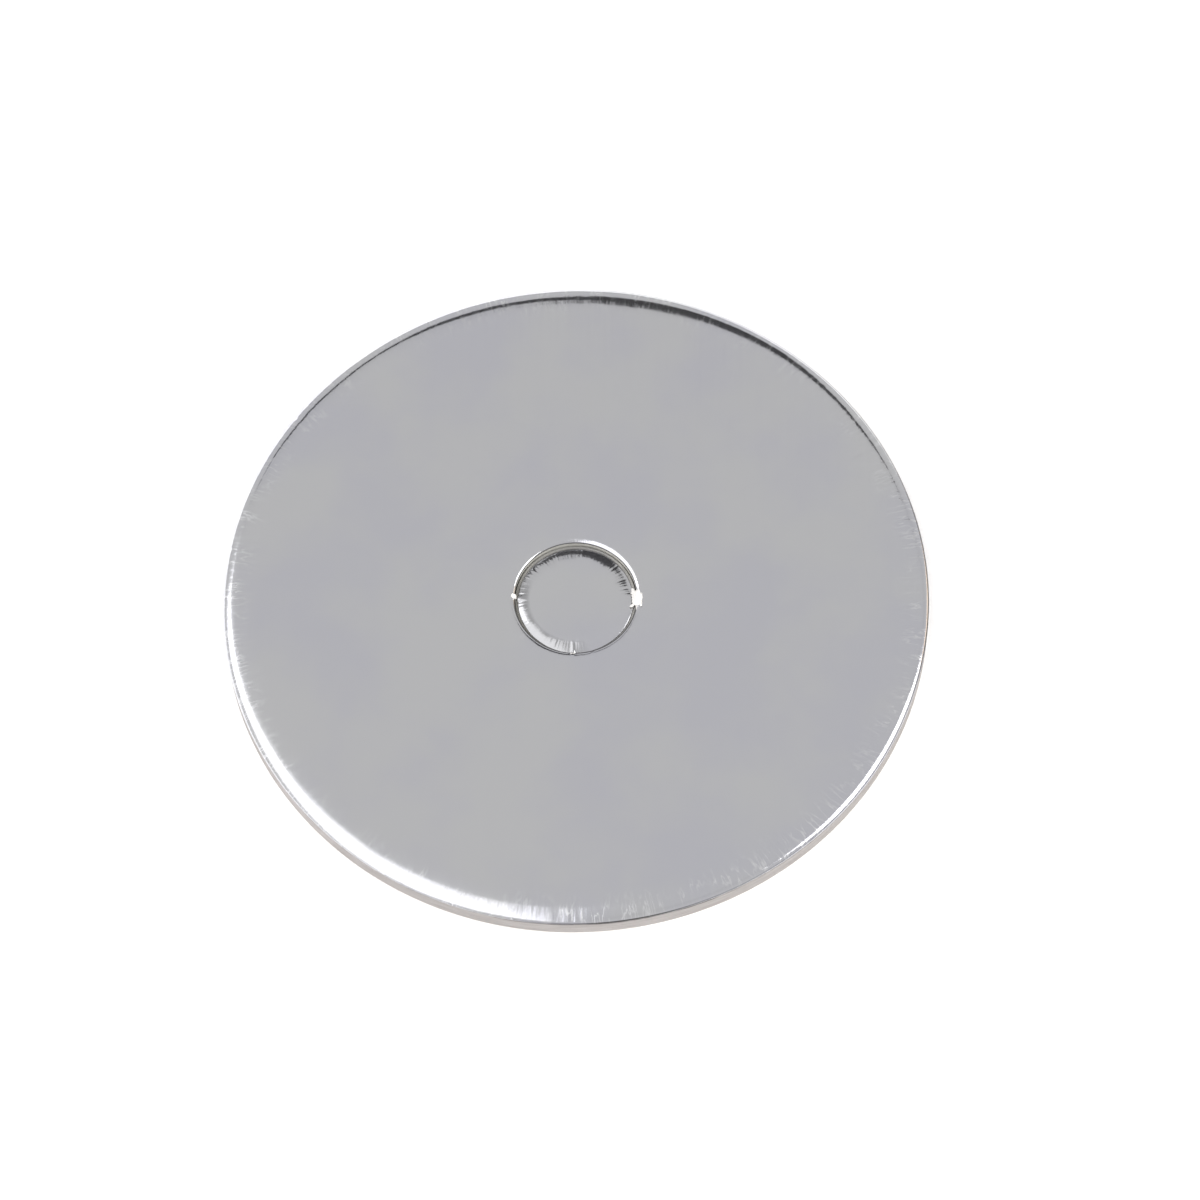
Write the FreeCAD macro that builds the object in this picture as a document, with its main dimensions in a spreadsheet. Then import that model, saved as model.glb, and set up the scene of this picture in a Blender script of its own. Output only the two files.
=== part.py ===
import FreeCAD, Part
import Sketcher
import os

# A round board faced with metallised film, with a coin-sized plug in the middle that pushes out.
# The board and its plug are cut from one laminate: film, carrier paper, two plies, back paper.
# Millimetres. +Z is up and the origin is the centre of the underside.

# Driving dimensions. plug_gap is the width of the cut between the board and the plug, measured
# along the radius. A roll is a film-covered edge that the cutting rule drew down, and plug_press
# is how much thinner the die left the plug. A nick is an uncut bridge of board across the gap;
# nick_tear is the crack through it and nick_root is how far its halves run on inside the plies.
DIMS = [
    ("disc_diameter", 104.0),
    ("opening_diameter", 18.0),
    ("plug_gap", 0.08),
    ("film_thickness", 0.05),
    ("face_paper_thickness", 0.1),
    ("upper_ply_thickness", 1.9),
    ("lower_ply_thickness", 1.9),
    ("back_paper_thickness", 0.15),
    ("outer_roll_width", 2.4),
    ("outer_roll_drop", 1.0),
    ("opening_roll_width", 0.6),
    ("opening_roll_drop", 0.3),
    ("plug_roll_width", 1.4),
    ("plug_roll_drop", 0.6),
    ("plug_press", 0.6),
    ("nick_width", 1.2),
    ("nick_height", 2.2),
    ("nick_tear", 0.02),
    ("nick_root", 0.5),
]

# Places worked out from the driving dimensions. A roll is an arc that leaves the flat face
# tangentially and ends at the cut edge, so its radius follows from its width and its drop.
# A nick starts where the plug's upper ply meets the cut and runs down into the lower ply.
PLACES = [
    ("axis", "0"),
    ("underside", "0"),
    ("back_paper_top", "dims.back_paper_thickness"),
    ("disc_radius", "dims.disc_diameter / 2"),
    ("opening_radius", "dims.opening_diameter / 2"),
    ("plug_radius", "opening_radius - dims.plug_gap"),
    ("ply_joint", "dims.back_paper_thickness + dims.lower_ply_thickness"),
    ("board_ply_top", "ply_joint + dims.upper_ply_thickness"),
    ("board_paper_top", "board_ply_top + dims.face_paper_thickness"),
    ("board_film_top", "board_paper_top + dims.film_thickness"),
    ("plug_ply_top", "board_ply_top - dims.plug_press"),
    ("plug_paper_top", "plug_ply_top + dims.face_paper_thickness"),
    ("plug_film_top", "plug_paper_top + dims.film_thickness"),
    ("outer_roll_radius",
     "(dims.outer_roll_width ^ 2 + dims.outer_roll_drop ^ 2) / (2 * dims.outer_roll_drop)"),
    ("outer_roll_centre", "disc_radius - dims.outer_roll_width"),
    ("opening_roll_radius",
     "(dims.opening_roll_width ^ 2 + dims.opening_roll_drop ^ 2) / (2 * dims.opening_roll_drop)"),
    ("opening_roll_centre", "opening_radius + dims.opening_roll_width"),
    ("plug_roll_radius",
     "(dims.plug_roll_width ^ 2 + dims.plug_roll_drop ^ 2) / (2 * dims.plug_roll_drop)"),
    ("plug_roll_centre", "plug_radius - dims.plug_roll_width"),
    ("nick_board_root", "opening_radius + dims.nick_root"),
    ("nick_board_tip", "opening_radius - (dims.plug_gap - dims.nick_tear) / 2"),
    ("nick_plug_root", "plug_radius - dims.nick_root"),
    ("nick_plug_tip", "plug_radius + (dims.plug_gap - dims.nick_tear) / 2"),
    ("nick_near_side", "-dims.nick_width / 2"),
    ("nick_far_side", "dims.nick_width / 2"),
    ("nick_top", "plug_ply_top - dims.plug_roll_drop"),
    ("nick_base", "nick_top - dims.nick_height"),
]

# Names for the sketcher's numbers: the points of a curve, and the sketch's own origin.
START, END, CENTRE = 1, 2, 3
ORIGIN = -1

# The nicks stand at three, six and nine o'clock, seen from above: half a turn, clockwise.
NICK_COUNT = 3
NICK_SPREAD = 180

doc = FreeCAD.newDocument("coin_display_board")


def make_sheet(name, cells, prefix):
    """A spreadsheet with one aliased cell per value."""
    sheet = doc.addObject("Spreadsheet::Sheet", name)
    for row, (alias, content) in enumerate(cells, start=1):
        sheet.set(f"A{row}", alias)
        sheet.set(f"B{row}", f"{prefix}{content}")
        sheet.setAlias(f"B{row}", alias)
    doc.recompute()
    return sheet


make_sheet("dims", DIMS, "")
places = make_sheet("places", PLACES, "=")


def place(alias):
    """The present value of a worked-out place."""
    return float(places.get(alias))


def new_body(name):
    """An empty body whose label is the node's name."""
    body = doc.addObject("PartDesign::Body", name)
    body.Label = name
    body.Placement = FreeCAD.Placement()
    return body


def new_sketch(body, name, plane):
    """A sketch on one of the body's own origin planes."""
    sketch = body.newObject("Sketcher::SketchObject", name)
    support = next(feature for feature in body.Origin.OriginFeatures if feature.Role == plane)
    sketch.AttachmentSupport = (support, [""])
    sketch.MapMode = "FlatFace"
    return sketch


def bind(sketch, constraint, expression):
    """Add a dimension to a sketch and tie it to an expression."""
    index = sketch.addConstraint(constraint)
    sketch.setExpression(f"Constraints[{index}]", expression)


def pin_point(sketch, curve, point, axis, value, expression):
    """Hold one point of a curve at a distance from the sketch's origin."""
    constraint = Sketcher.Constraint(f"Distance{axis}", ORIGIN, START, curve, point, value)
    bind(sketch, constraint, expression)


def corner(sketch, radius, height):
    """A corner of a section. Both ends of the station are the same point."""
    spot = FreeCAD.Vector(place(radius), place(height), 0)
    dot = sketch.addGeometry(Part.Point(spot), True)
    pin_point(sketch, dot, START, "X", spot.x, f"places.{radius}")
    pin_point(sketch, dot, START, "Y", spot.y, f"places.{height}")
    return (dot, START, spot), (dot, START, spot)


def roll(sketch, surface, roll_name, edge, outward):
    """The arc of a drawn-down edge, as the station from its flat end to its cut end."""
    centre = f"{roll_name}_centre"
    radius = f"{roll_name}_radius"
    middle = FreeCAD.Vector(place(centre), place(surface) - place(radius), 0)
    reach = place(edge) - place(centre)
    fall = (place(radius) ** 2 - reach ** 2) ** 0.5
    cut_end = middle + FreeCAD.Vector(reach, fall, 0)
    flat_end = middle + FreeCAD.Vector(0, place(radius), 0)
    bisector = (cut_end - middle) + (flat_end - middle)
    crown = middle + bisector.normalize() * place(radius)
    arc = sketch.addGeometry(Part.Arc(cut_end, crown, flat_end), False)
    cut_point, flat_point = (START, END) if outward else (END, START)
    pin_point(sketch, arc, CENTRE, "X", middle.x, f"places.{centre}")
    pin_point(sketch, arc, CENTRE, "Y", middle.y, f"places.{surface} - places.{radius}")
    bind(sketch, Sketcher.Constraint("Radius", arc, place(radius)), f"places.{radius}")
    pin_point(sketch, arc, cut_point, "X", cut_end.x, f"places.{edge}")
    pin_point(sketch, arc, flat_point, "X", flat_end.x, f"places.{centre}")
    return (arc, flat_point, flat_end), (arc, cut_point, cut_end)


def backwards(station):
    """The same station, walked the other way."""
    first, last = station
    return last, first


def join(sketch, stations):
    """Close a section with straight sides from each station to the next."""
    for (_, leave), (enter, _) in zip(stations, stations[1:] + stations[:1]):
        side = sketch.addGeometry(Part.LineSegment(leave[2], enter[2]), False)
        sketch.addConstraint(Sketcher.Constraint("Coincident", side, START, leave[0], leave[1]))
        sketch.addConstraint(Sketcher.Constraint("Coincident", side, END, enter[0], enter[1]))


def turn(body, sketch):
    """Turn a section once round the upright axis."""
    revolution = body.newObject("PartDesign::Revolution", f"{body.Name}_turn")
    revolution.Profile = sketch
    revolution.ReferenceAxis = (sketch, ["V_Axis"])
    revolution.Angle = 360
    sketch.Visibility = False
    body.Tip = revolution


def ring_section(name, upper, lower, rolled_below):
    """A layer of the board. Its top follows both rolls, and so does the underside of a sheet."""
    body = new_body(name)
    sketch = new_sketch(body, f"{name}_section", "XZ_Plane")
    stations = [
        roll(sketch, upper, "outer_roll", "disc_radius", True),
    ]
    if rolled_below:
        stations.append(backwards(roll(sketch, lower, "outer_roll", "disc_radius", True)))
        stations.append(roll(sketch, lower, "opening_roll", "opening_radius", False))
    else:
        stations.append(corner(sketch, "disc_radius", lower))
        stations.append(corner(sketch, "opening_radius", lower))
    stations.append(backwards(roll(sketch, upper, "opening_roll", "opening_radius", False)))
    join(sketch, stations)
    turn(body, sketch)
    return body


def plug_section(name, upper, lower, rolled_below):
    """A layer of the plug. Its top follows the plug's roll, and so does the underside of a sheet."""
    body = new_body(name)
    sketch = new_sketch(body, f"{name}_section", "XZ_Plane")
    stations = [
        roll(sketch, upper, "plug_roll", "plug_radius", True),
    ]
    if rolled_below:
        stations.append(backwards(roll(sketch, lower, "plug_roll", "plug_radius", True)))
    else:
        stations.append(corner(sketch, "plug_radius", lower))
    stations.append(corner(sketch, "axis", lower))
    stations.append(corner(sketch, "axis", upper))
    join(sketch, stations)
    turn(body, sketch)
    return body


def flat_layer(name, radii, base, thickness):
    """A layer with square edges: a disc, or a ring where there are two radii."""
    body = new_body(name)
    sketch = new_sketch(body, f"{name}_outline", "XY_Plane")
    sketch.AttachmentOffset = FreeCAD.Placement(FreeCAD.Vector(0, 0, place(base)), FreeCAD.Rotation())
    sketch.setExpression("AttachmentOffset.Base.z", f"places.{base}")
    for radius in radii:
        circle = sketch.addGeometry(
            Part.Circle(FreeCAD.Vector(), FreeCAD.Vector(0, 0, 1), place(radius)), False)
        sketch.addConstraint(Sketcher.Constraint("Coincident", circle, CENTRE, ORIGIN, START))
        bind(sketch, Sketcher.Constraint("Radius", circle, place(radius)), f"places.{radius}")
    pad = body.newObject("PartDesign::Pad", f"{name}_pad")
    pad.Profile = sketch
    pad.setExpression("Length", f"dims.{thickness}")
    sketch.Visibility = False
    body.Tip = pad
    return body


def add_nicks(body, root, split, base, top):
    """One ply's share of each uncut bridge, from inside the ply to the tear in the groove."""
    doc.recompute()
    sketch = new_sketch(body, f"{body.Name}_nick", "XY_Plane")
    sketch.AttachmentOffset = FreeCAD.Placement(FreeCAD.Vector(0, 0, place(base)), FreeCAD.Rotation())
    sketch.setExpression("AttachmentOffset.Base.z", f"places.{base}")
    join(sketch, [
        corner(sketch, root, "nick_near_side"),
        corner(sketch, split, "nick_near_side"),
        corner(sketch, split, "nick_far_side"),
        corner(sketch, root, "nick_far_side"),
    ])
    pad = body.newObject("PartDesign::Pad", f"{body.Name}_nick_pad")
    pad.Profile = sketch
    pad.setExpression("Length", f"places.{top} - places.{base}")
    sketch.Visibility = False
    body.Tip = pad
    doc.recompute()
    pattern = body.newObject("PartDesign::PolarPattern", f"{body.Name}_nick_pattern")
    pattern.Originals = [pad]
    pattern.Axis = (sketch, ["N_Axis"])
    pattern.Angle = NICK_SPREAD
    pattern.Occurrences = NICK_COUNT
    pattern.Reversed = True
    body.Tip = pattern


def build_board():
    """The ring-shaped display board, from its face down."""
    ring = ["disc_radius", "opening_radius"]
    ring_section("board_face_film", "board_film_top", "board_paper_top", True)
    ring_section("board_face_paper", "board_paper_top", "board_ply_top", True)
    upper = ring_section("board_upper_ply", "board_ply_top", "ply_joint", False)
    add_nicks(upper, "nick_board_root", "nick_board_tip", "ply_joint", "nick_top")
    lower = flat_layer("board_lower_ply", ring, "back_paper_top", "lower_ply_thickness")
    add_nicks(lower, "nick_board_root", "nick_board_tip", "nick_base", "ply_joint")
    flat_layer("board_back_paper", ring, "underside", "back_paper_thickness")


def build_plug():
    """The coin-sized plug, from its face down."""
    disc = ["plug_radius"]
    plug_section("plug_face_film", "plug_film_top", "plug_paper_top", True)
    plug_section("plug_face_paper", "plug_paper_top", "plug_ply_top", True)
    upper = plug_section("plug_upper_ply", "plug_ply_top", "ply_joint", False)
    add_nicks(upper, "nick_plug_root", "nick_plug_tip", "ply_joint", "nick_top")
    lower = flat_layer("plug_lower_ply", disc, "back_paper_top", "lower_ply_thickness")
    add_nicks(lower, "nick_plug_root", "nick_plug_tip", "nick_base", "ply_joint")
    flat_layer("plug_back_paper", disc, "underside", "back_paper_thickness")


def check_document():
    """Stop on any object that failed to build."""
    for item in doc.Objects:
        if "Invalid" in item.State or "Error" in item.State:
            raise RuntimeError(f"{item.Name} failed to build: {item.State}")


def check_body(body):
    """Stop on an empty, broken or divided body."""
    shape = body.Shape
    if shape.isNull() or not shape.isValid():
        raise RuntimeError(f"{body.Label} has no valid shape")
    if len(shape.Solids) != 1:
        raise RuntimeError(f"{body.Label} has {len(shape.Solids)} solids")


def export_bodies():
    """Write each body to a file named after its node."""
    os.makedirs("parts", exist_ok=True)
    bodies = [item for item in doc.Objects if item.TypeId == "PartDesign::Body"]
    for body in bodies:
        check_body(body)
    for body in bodies:
        body.Shape.exportStep(f"parts/{body.Label}.step")
        print(f"{body.Label}: {body.Shape.Volume:.2f} mm3")


build_board()
build_plug()
doc.recompute()
check_document()
export_bodies()
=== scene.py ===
import math
from functools import partial

import bmesh
import bpy
from bpy.props import FloatProperty, FloatVectorProperty, PointerProperty
from mathutils import Matrix, Vector, noise


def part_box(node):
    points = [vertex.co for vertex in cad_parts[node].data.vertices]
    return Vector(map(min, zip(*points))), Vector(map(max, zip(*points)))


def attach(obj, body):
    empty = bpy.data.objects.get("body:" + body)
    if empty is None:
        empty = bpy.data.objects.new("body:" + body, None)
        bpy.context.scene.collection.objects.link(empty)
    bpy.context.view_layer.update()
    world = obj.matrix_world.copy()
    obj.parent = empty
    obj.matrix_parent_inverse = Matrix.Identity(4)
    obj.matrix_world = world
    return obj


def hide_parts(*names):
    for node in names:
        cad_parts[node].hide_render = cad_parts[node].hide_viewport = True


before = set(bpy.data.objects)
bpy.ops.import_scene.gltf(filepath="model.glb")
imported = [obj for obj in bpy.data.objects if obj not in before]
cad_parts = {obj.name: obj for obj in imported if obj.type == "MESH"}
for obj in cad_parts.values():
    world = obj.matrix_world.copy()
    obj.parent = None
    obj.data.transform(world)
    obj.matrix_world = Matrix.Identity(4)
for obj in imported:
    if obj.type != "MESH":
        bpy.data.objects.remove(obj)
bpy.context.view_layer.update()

bl_info = {
    "name": "Coin Display Board",
    "version": (1, 0, 0),
    "blender": (4, 5, 0),
    "location": "3D View > Sidebar > Display Board",
    "description": "A film-faced round board with a push-out coin plug, and its studio",
    "category": "Object",
}

MM = 0.001


# ---------------- what the frame says

def rim_radius(node):
    """The outer radius of a round layer."""
    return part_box(node)[1].x


def hole_radius(node):
    """The radius of the hole through a ring-shaped layer."""
    return min(math.hypot(v.co.x, v.co.y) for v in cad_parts[node].data.vertices)


def low(node):
    """The height of a layer's lowest point."""
    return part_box(node)[0].z


def high(node):
    """The height of a layer's highest point."""
    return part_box(node)[1].z


def drawn_down(film, paper):
    """How far a film's cut edge lies below its flat face."""
    film_thickness = high(film) - high(paper)
    return high(film) - low(film) - film_thickness


def linear(hex_colour):
    """An sRGB hex colour as linear red, green and blue."""
    channels = [int(hex_colour[i:i + 2], 16) / 255 for i in (1, 3, 5)]
    return tuple(c / 12.92 if c <= 0.04045 else ((c + 0.055) / 1.055) ** 2.4 for c in channels)


# ---------------- properties

def length(name, description, default):
    """A length that a user may change, in metres."""
    return FloatProperty(name=name, description=description, default=default, unit="LENGTH",
                         precision=6)


def tilt(name, description, degrees):
    """An angle of the camera that a user may change, given in degrees."""
    return FloatProperty(name=name, description=description, default=math.radians(degrees),
                         subtype="ANGLE")


def brightness(name, description, default):
    """The brightness of a light that a user may change."""
    return FloatProperty(name=name, description=description, default=default, min=0)


def colour(name, description, hex_colour):
    """A colour that a user may change."""
    return FloatVectorProperty(name=name, description=description, default=linear(hex_colour),
                               subtype="COLOR", size=3, min=0, max=1)


class BoardSizes(bpy.types.PropertyGroup):
    """Sizes of the laminate's drawn-down edges and of the marks in its film."""
    disc_radius: length("Disc radius", "From the axis to the outer cut",
                        rim_radius("board_face_film"))
    opening_radius: length("Opening radius", "From the axis to the cut round the opening",
                           hole_radius("board_back_paper"))
    plug_radius: length("Plug radius", "From the axis to the plug's own cut",
                        rim_radius("plug_face_film"))
    roll_drop: length("Outer roll drop", "How far the outer edge of the film is drawn down",
                      drawn_down("board_face_film", "board_face_paper"))
    roll_width: length("Outer roll width", "How far in the outer roll fades out", 4.6 * MM)
    roll_tuck: length("Outer tuck", "The part of the outer drop that is a tight turn at the cut",
                      0.05 * MM)
    lip_drop: length("Opening lip drop", "How far the film is drawn down at the opening",
                     0.3 * MM)
    lip_width: length("Opening lip width", "How far out the opening's lip fades out", 0.55 * MM)
    lip_tuck: length("Opening lip tuck", "The part of the lip's drop that is a tight turn",
                     0.07 * MM)
    shoulder_drop: length("Plug shoulder drop", "How far the plug's film is drawn down",
                          drawn_down("plug_face_film", "plug_face_paper"))
    shoulder_width: length("Plug shoulder width", "How far in the plug's shoulder fades out",
                           2.6 * MM)
    shoulder_tuck: length("Plug shoulder tuck", "The part of the plug's drop that is a tight turn",
                          0.14 * MM)
    pucker_depth: length("Pucker depth", "Height of the fine wrinkles that run to each cut",
                         0.014 * MM)
    pucker_reach: length("Pucker reach", "How far from a cut the wrinkles fade out", 2.6 * MM)
    set_back: length("Set-back", "How far the cut board stands back under the film's edge",
                     0.07 * MM)
    fray: length("Fray", "Roughness of the cut board", 0.02 * MM)


class BoardColours(bpy.types.PropertyGroup):
    """Colours of the laminate's materials and of the studio floor."""
    film: colour("Film", "Vacuum-metallised aluminium on clear film", "#E2E2E3")
    film_cloud: colour("Film cloud", "The faintly lilac clouds in the film", "#DDDDE3")
    pulp: colour("Greyboard", "Cut edge of recycled pulp board", "#B0ABA8")
    pulp_dark: colour("Greyboard dark layers", "The darker plies of pulp in the cut", "#908A86")
    fresh_pulp: colour("Fresh pulp", "Clean cut of greyboard round the opening", "#C6C4BC")
    # The glue line's colour is also painted shade under the film's edge.
    glue_and_shade: colour("Glue line", "Pulp soaked with laminating glue", "#4E4947")
    # The crushed edge's colour is also painted shade, and a painted reflection of dark things,
    # along each cut.
    crushed_edge_and_shade: colour("Crushed edge", "The film's edge, crushed by the steel rule", "#504D4C")
    # The torn fibre's near white is also a painted highlight for the glint at each nick.
    torn_fibre_and_highlight: colour("Torn fibre", "White paper fibres at a torn nick", "#F6F3EE")
    carrier: colour("Carrier paper", "Cut edge of the paper under the film", "#8A8280")
    back: colour("Back paper", "White lining paper on the underside", "#ECE9E2")
    floor: colour("Floor", "Pale studio floor", "#FFFFFF")
    flag_cloth: colour("Flag cloth", "Black cloth of the flags that shade the film", "#303031")


class StudioSizes(bpy.types.PropertyGroup):
    """Camera and light."""
    camera_distance: length("Camera distance", "From the camera to the middle of the disc", 0.988)
    camera_azimuth: tilt("Camera azimuth", "Turn of the camera round the disc", 4.0)
    camera_elevation: tilt("Camera elevation", "Height angle above the floor", 63.96)
    camera_roll: tilt("Camera roll", "Lean of the camera about its own view", 2.7)
    focal_length: FloatProperty(name="Focal length", description="Lens on a 36 mm sensor",
                                default=201.2, subtype="DISTANCE_CAMERA", unit="CAMERA")
    key_glow: brightness("Key glow", "The big softbox over the left", 1.0)
    key_wash: brightness("Key wash", "Light that the key adds to matt surfaces only", 2.9)
    right_wash: brightness("Right wash", "Light from the right on matt surfaces only", 3.4)
    bank_glow: brightness("Bank glow", "The softbox behind on the left", 1.6)
    strip_glow: brightness("Strip glow", "The softbox on the right", 2.4)
    warm_glow: brightness("Warm glow", "The low warm strip behind", 0.85)
    dome_glow: brightness("Dome glow", "The studio dome", 1.0)


# ---------------- materials

# The sockets of a Mix node that mixes colours: its factor and its two colours.
SHARE, UNDER, OVER = 0, 6, 7
SMOOTH = {"interpolation_type": "SMOOTHSTEP"}

# How far in from each cut the film is creased; the front left, where it is worn and where painted
# shade is added or left out; and the front right, where the painted dark line is faint.
CREASED_BAND = 5.5 * MM
CREASED_LIP = 4.5 * MM
FRONT_LEFT = (-0.76, -0.65, 0)
FRONT_RIGHT = (0.74, -0.67, 0)


def add_node(tree, kind, inputs=(), **settings):
    """Add one node with its settings.

    Its inputs are given in order, or by name or number. Each is a plain value, or the node or
    socket that feeds it.
    """
    node = tree.nodes.new(kind)
    for name, value in settings.items():
        setattr(node, name, value)
    for name, value in (inputs.items() if isinstance(inputs, dict) else enumerate(inputs)):
        if isinstance(value, bpy.types.Node):
            value = next(socket for socket in value.outputs if socket.enabled)
        if isinstance(value, bpy.types.NodeSocket):
            tree.links.new(value, node.inputs[name])
        else:
            node.inputs[name].default_value = value
    return node


def emptied(owner):
    """Clear a material's or a world's nodes, and give the adder of nodes to it."""
    owner.use_nodes = True
    owner.node_tree.nodes.clear()
    return partial(add_node, owner.node_tree)


def new_material(name):
    """An empty material, and the adder of nodes to it."""
    material = bpy.data.materials.new(name)
    return material, emptied(material)


def opaque(rgb, shade=1.0):
    """A colour with full alpha, made lighter or darker by a shade."""
    return (*(min(1.0, channel * shade) for channel in rgb), 1.0)


def metallised_film(colours, sizes):
    """Aluminium vacuum-deposited on clear polyester film and glued to paper.

    A mirror with the softness of a laminate: the paper's fibres print through as a fine peel,
    drawing the web leaves long faint streaks one way, and the film puckers towards each cut.
    Dark lines along each cut are partly the steel rule's crushed edge and partly painted shade,
    with a painted reflection of dark things on the right. Pale hairs in the creases are a painted
    highlight, and the plug's shoulder is darkened on its front left with painted shade.
    """
    material, add = new_material("vacuum_metallised_polyester_film")
    place = add("ShaderNodeTexCoord").outputs["Object"]
    flat = add("ShaderNodeVectorMath", (place, (1, 1, 0)), operation="MULTIPLY")
    radius = add("ShaderNodeVectorMath", (flat,), operation="LENGTH")
    spoke = add("ShaderNodeVectorMath", (flat,), operation="NORMALIZE")

    # Paper fibres printing through, the broad cockle of the glued sheet, the clumps that the
    # creases come in, and faint clouds: millimetres across, detail and roughness.
    peel, cockle, clumps, cloud = (add("ShaderNodeTexNoise", {
        "Vector": place, "Scale": 1 / (across * MM), "Detail": detail, "Roughness": roughness,
    }) for across, detail, roughness in (
        (0.55, 3.0, 0.55), (9, 2.0, 0.5), (3, 2.0, 0.5), (16, 3.0, 0.5)))
    # Web-direction streaks, about 0.5 mm wide and 14 mm long.
    web = add("ShaderNodeMapping", {
        "Vector": place, "Scale": (1 / (0.5 * MM), 1 / (14 * MM), 1 / (14 * MM)),
    })
    streaks = add("ShaderNodeTexNoise", {
        "Vector": web, "Scale": 1.0, "Detail": 4.0, "Roughness": 0.6,
    })
    # Fine radial creases, 1.1 mm apart at the rim: noise on the direction from the axis, so
    # each runs along a spoke. They wander as they run in, so the distance counts too.
    turn = add("ShaderNodeVectorMath", {
        0: spoke, "Scale": sizes.disc_radius / (1.1 * MM),
    }, operation="SCALE")
    inward = add("ShaderNodeMath", (radius, 4.5 * MM), operation="DIVIDE")
    along = add("ShaderNodeCombineXYZ", {"Z": inward})
    wander = add("ShaderNodeVectorMath", (turn, along), operation="ADD")
    wrinkles = add("ShaderNodeTexNoise", {
        "Vector": wander, "Scale": 1.0, "Detail": 2.0, "Roughness": 0.6,
    })
    # A crease lies wherever the noise passes its middle.
    middle = add("ShaderNodeMath", (wrinkles, 0.5), operation="SUBTRACT")
    middle = add("ShaderNodeMath", (middle,), operation="ABSOLUTE")
    crease = add("ShaderNodeMapRange", (middle, 0.0, 0.045, 1, 0), **SMOOTH)
    clumped = add("ShaderNodeMapRange", (clumps, 0.4, 0.62, 0.1, 1), **SMOOTH)
    crease = add("ShaderNodeMath", (crease, clumped), operation="MULTIPLY")

    # How near each place is to the outer cut, or to the cut between board and plug.
    outer_fade = add("ShaderNodeMapRange", (
        radius, sizes.disc_radius - CREASED_BAND, sizes.disc_radius, 0, 1), **SMOOTH)
    beyond = add("ShaderNodeMath", (radius, sizes.opening_radius), operation="SUBTRACT")
    from_opening = add("ShaderNodeMath", (beyond,), operation="ABSOLUTE")
    inner_fade = add("ShaderNodeMapRange", (from_opening, 0.0, CREASED_LIP, 0.3, 0), **SMOOTH)
    near_cut = add("ShaderNodeMath", (outer_fade, inner_fade), operation="MAXIMUM")
    crease = add("ShaderNodeMath", (crease, near_cut), operation="MULTIPLY")
    pull = add("ShaderNodeMath", (wrinkles, near_cut), operation="MULTIPLY")

    # Heights in millimetres: the peel is coarser near a cut, where the film was worked most.
    peel_height = add("ShaderNodeMapRange", (near_cut, 0, 1, 0.0018, 0.0048), **SMOOTH)
    height = add("ShaderNodeMath", (peel, peel_height), operation="MULTIPLY")
    for relief, rise in ((streaks, 0.0006), (cockle, 0.010), (pull, 0.024), (crease, 0.0028)):
        height = add("ShaderNodeMath", (relief, rise, height), operation="MULTIPLY_ADD")
    bump = add("ShaderNodeBump", {"Strength": 1.0, "Distance": MM, "Height": height})

    # The left of the front edge is scuffed rougher by thumbs, and the painted dark line is left
    # out there, where the light falls. The plug's shoulder there is rougher, and painted darker:
    # painted shade over its bright reflection.
    facing = add("ShaderNodeVectorMath", (spoke, FRONT_LEFT), operation="DOT_PRODUCT")
    scuffed_and_lit = add("ShaderNodeMapRange", (facing, 0.45, 0.92, 0, 1), **SMOOTH)
    scuffed_and_lit = add("ShaderNodeMath", (scuffed_and_lit, outer_fade), operation="MULTIPLY")
    rubbed_and_shaded = add("ShaderNodeMapRange", (beyond, -2.4 * MM, -1.5 * MM, 0, 1), **SMOOTH)
    inside = add("ShaderNodeMath", (beyond, 0.0), operation="LESS_THAN")
    to_front_left = add("ShaderNodeMapRange", (facing, 0.35, 0.75, 0, 1), **SMOOTH)
    for share in (inside, to_front_left):
        rubbed_and_shaded = add("ShaderNodeMath", (rubbed_and_shaded, share), operation="MULTIPLY")
    # A dark line along the outer cut, 0.1 mm wide and up to 0.2 mm on the right: partly the
    # crushed edge left by the steel rule, partly painted shade, and on the right a painted
    # reflection of dark things. It is left out on the front left, where the light falls and thumbs
    # scuffed the film.
    heading = add("ShaderNodeSeparateXYZ", (spoke,))
    rule = add("ShaderNodeMath", (heading.outputs["X"], 0.1 * MM, radius),
               operation="MULTIPLY_ADD")
    outer_crush_and_shade = add("ShaderNodeMapRange", (
        rule, sizes.disc_radius - 0.15 * MM, sizes.disc_radius - 0.06 * MM, 0, 1), **SMOOTH)
    kept = add("ShaderNodeMapRange", (scuffed_and_lit, 0.1, 0.8, 0.9, 0.15), **SMOOTH)
    # On the right of the front the painted dark line is faint.
    to_right = add("ShaderNodeVectorMath", (spoke, FRONT_RIGHT), operation="DOT_PRODUCT")
    paler = add("ShaderNodeMapRange", (to_right, 0.8, 0.95, 1, 0.25), **SMOOTH)
    for share in (kept, paler):
        outer_crush_and_shade = add("ShaderNodeMath", (outer_crush_and_shade, share), operation="MULTIPLY")
    # A dark line at the cut between board and plug: the crushed edge, and painted shade in the
    # gap.
    inner_crush_and_shade = add("ShaderNodeMapRange", (from_opening, 0.04 * MM, 0.13 * MM, 0.8, 0), **SMOOTH)
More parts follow.
